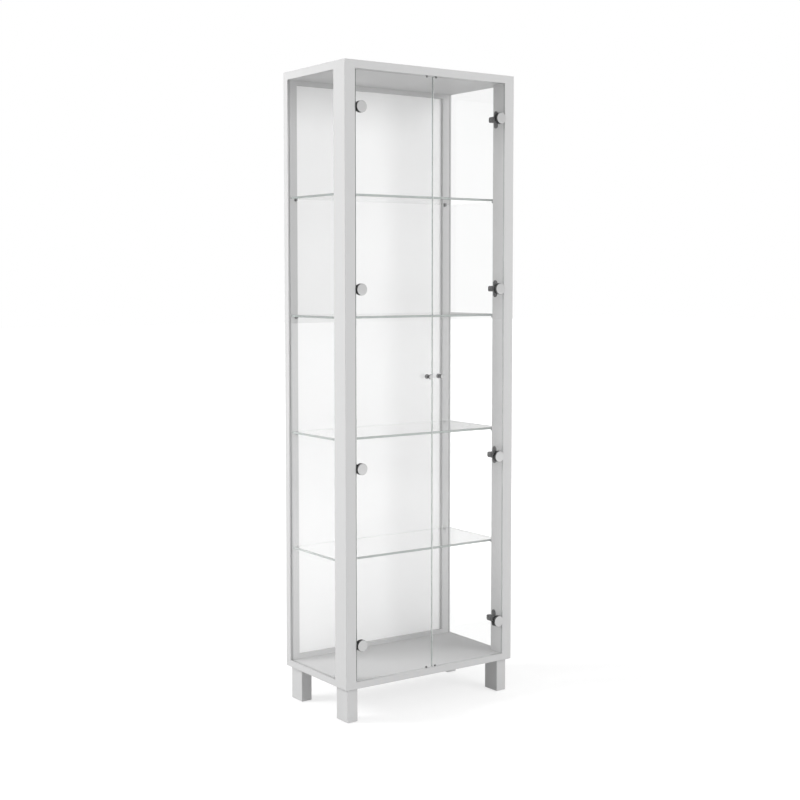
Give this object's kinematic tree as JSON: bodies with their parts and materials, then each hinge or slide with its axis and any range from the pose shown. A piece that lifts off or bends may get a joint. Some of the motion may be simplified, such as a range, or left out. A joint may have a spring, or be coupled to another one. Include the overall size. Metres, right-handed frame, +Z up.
{
  "type": "display cabinet",
  "caption": "Tall glazed display cabinet on legs, with two hinged glass doors, glass sides, glass shelves on pins and a white back panel.",
  "frame": {"origin": "on the floor under the middle of the whole outline, knobs included", "axes": "+Z up, front and doors towards -Y, left door at -X"},
  "size_m": [0.58, 0.342, 1.8],
  "materials": {
    "frame_lacquer": "satin silver-grey lacquer on wood board",
    "back_panel_white": "smooth gloss white lacquer on board",
    "clear_glass": "clear float glass, polished edges",
    "shelf_glass": "clear float glass, polished grey-green edges",
    "shelf_pin_steel": "dark burnished steel",
    "dowel_beech": "fluted beech, unfinished",
    "zinc_steel": "bright zinc plate",
    "glide_plastic": "matt black nylon",
    "black_rubber": "matt black rubber",
    "hinge_black": "satin black",
    "satin_cap_steel": "satin nickel",
    "satin_knob_steel": "satin nickel",
    "clear_washer_plastic": "translucent nylon"
  },
  "bodies": {
    "cabinet": {"top_board": "frame_lacquer", "bottom_board": "frame_lacquer", "front_post_left": "frame_lacquer", "front_post_right": "frame_lacquer", "rear_post_left": "frame_lacquer", "rear_post_right": "frame_lacquer", "rear_top_rail": "frame_lacquer", "rear_bottom_rail": "frame_lacquer", "back_panel": "back_panel_white", "side_glass_left": "clear_glass", "side_glass_right": "clear_glass", "shelf_1": "shelf_glass", "shelf_2": "shelf_glass", "shelf_3": "shelf_glass", "shelf_4": "shelf_glass", "shelf_pins_front": "shelf_pin_steel", "shelf_pins_rear": "shelf_pin_steel", "frame_dowels": "dowel_beech", "leg_front_left": "frame_lacquer", "leg_front_right": "frame_lacquer", "leg_rear_left": "frame_lacquer", "leg_rear_right": "frame_lacquer", "leg_bolts": "zinc_steel", "leg_inserts": "zinc_steel", "foot_glides": "glide_plastic", "door_stops_bottom": "black_rubber", "door_stops_top": "black_rubber", "hinge_plates_left": "hinge_black", "hinge_plate_screws_left": "hinge_black", "hinge_arms_left": "hinge_black", "hinge_arm_screws_left": "hinge_black", "hinge_arm_pins_left": "zinc_steel", "hinge_plates_right": "hinge_black", "hinge_plate_screws_right": "hinge_black", "hinge_arms_right": "hinge_black", "hinge_arm_screws_right": "hinge_black", "hinge_arm_pins_right": "zinc_steel"},
    "left_door": {"door_glass_left": "clear_glass", "hinge_cups_left": "hinge_black", "hinge_cup_pins_left": "zinc_steel", "hinge_gaskets_left": "black_rubber", "hinge_caps_left": "satin_cap_steel", "knob_left": "satin_knob_steel", "knob_screw_left": "zinc_steel", "knob_washers_left": "clear_washer_plastic"},
    "right_door": {"door_glass_right": "clear_glass", "hinge_cups_right": "hinge_black", "hinge_cup_pins_right": "zinc_steel", "hinge_gaskets_right": "black_rubber", "hinge_caps_right": "satin_cap_steel", "knob_right": "satin_knob_steel", "knob_screw_right": "zinc_steel", "knob_washers_right": "clear_washer_plastic"},
    "left_hinge_links": {"hinge_links_left": "zinc_steel"},
    "right_hinge_links": {"hinge_links_right": "zinc_steel"}
  },
  "joints": [
    {"name": "left_link_swing", "type": "hinge", "parent": "cabinet", "child": "left_hinge_links", "pos_m": [-0.232, -0.139, 0.9465], "axis": [0, 0, 1], "range_deg": [0, 88.5]},
    {"name": "right_link_swing", "type": "hinge", "parent": "cabinet", "child": "right_hinge_links", "pos_m": [0.232, -0.139, 0.9465], "axis": [0, 0, -1], "range_deg": [0, 88.5]},
    {"name": "left_door_swing", "type": "hinge", "parent": "left_hinge_links", "child": "left_door", "pos_m": [-0.249, -0.1385, 0.9465], "axis": [0, 0, -1], "range_deg": [0, 183]},
    {"name": "right_door_swing", "type": "hinge", "parent": "right_hinge_links", "child": "right_door", "pos_m": [0.249, -0.1385, 0.9465], "axis": [0, 0, 1], "range_deg": [0, 183]}
  ],
  "couplings": [
    {"joint": "left_link_swing", "follows": "left_door_swing", "ratio": 0.48087},
    {"joint": "right_link_swing", "follows": "right_door_swing", "ratio": 0.48087}
  ]
}
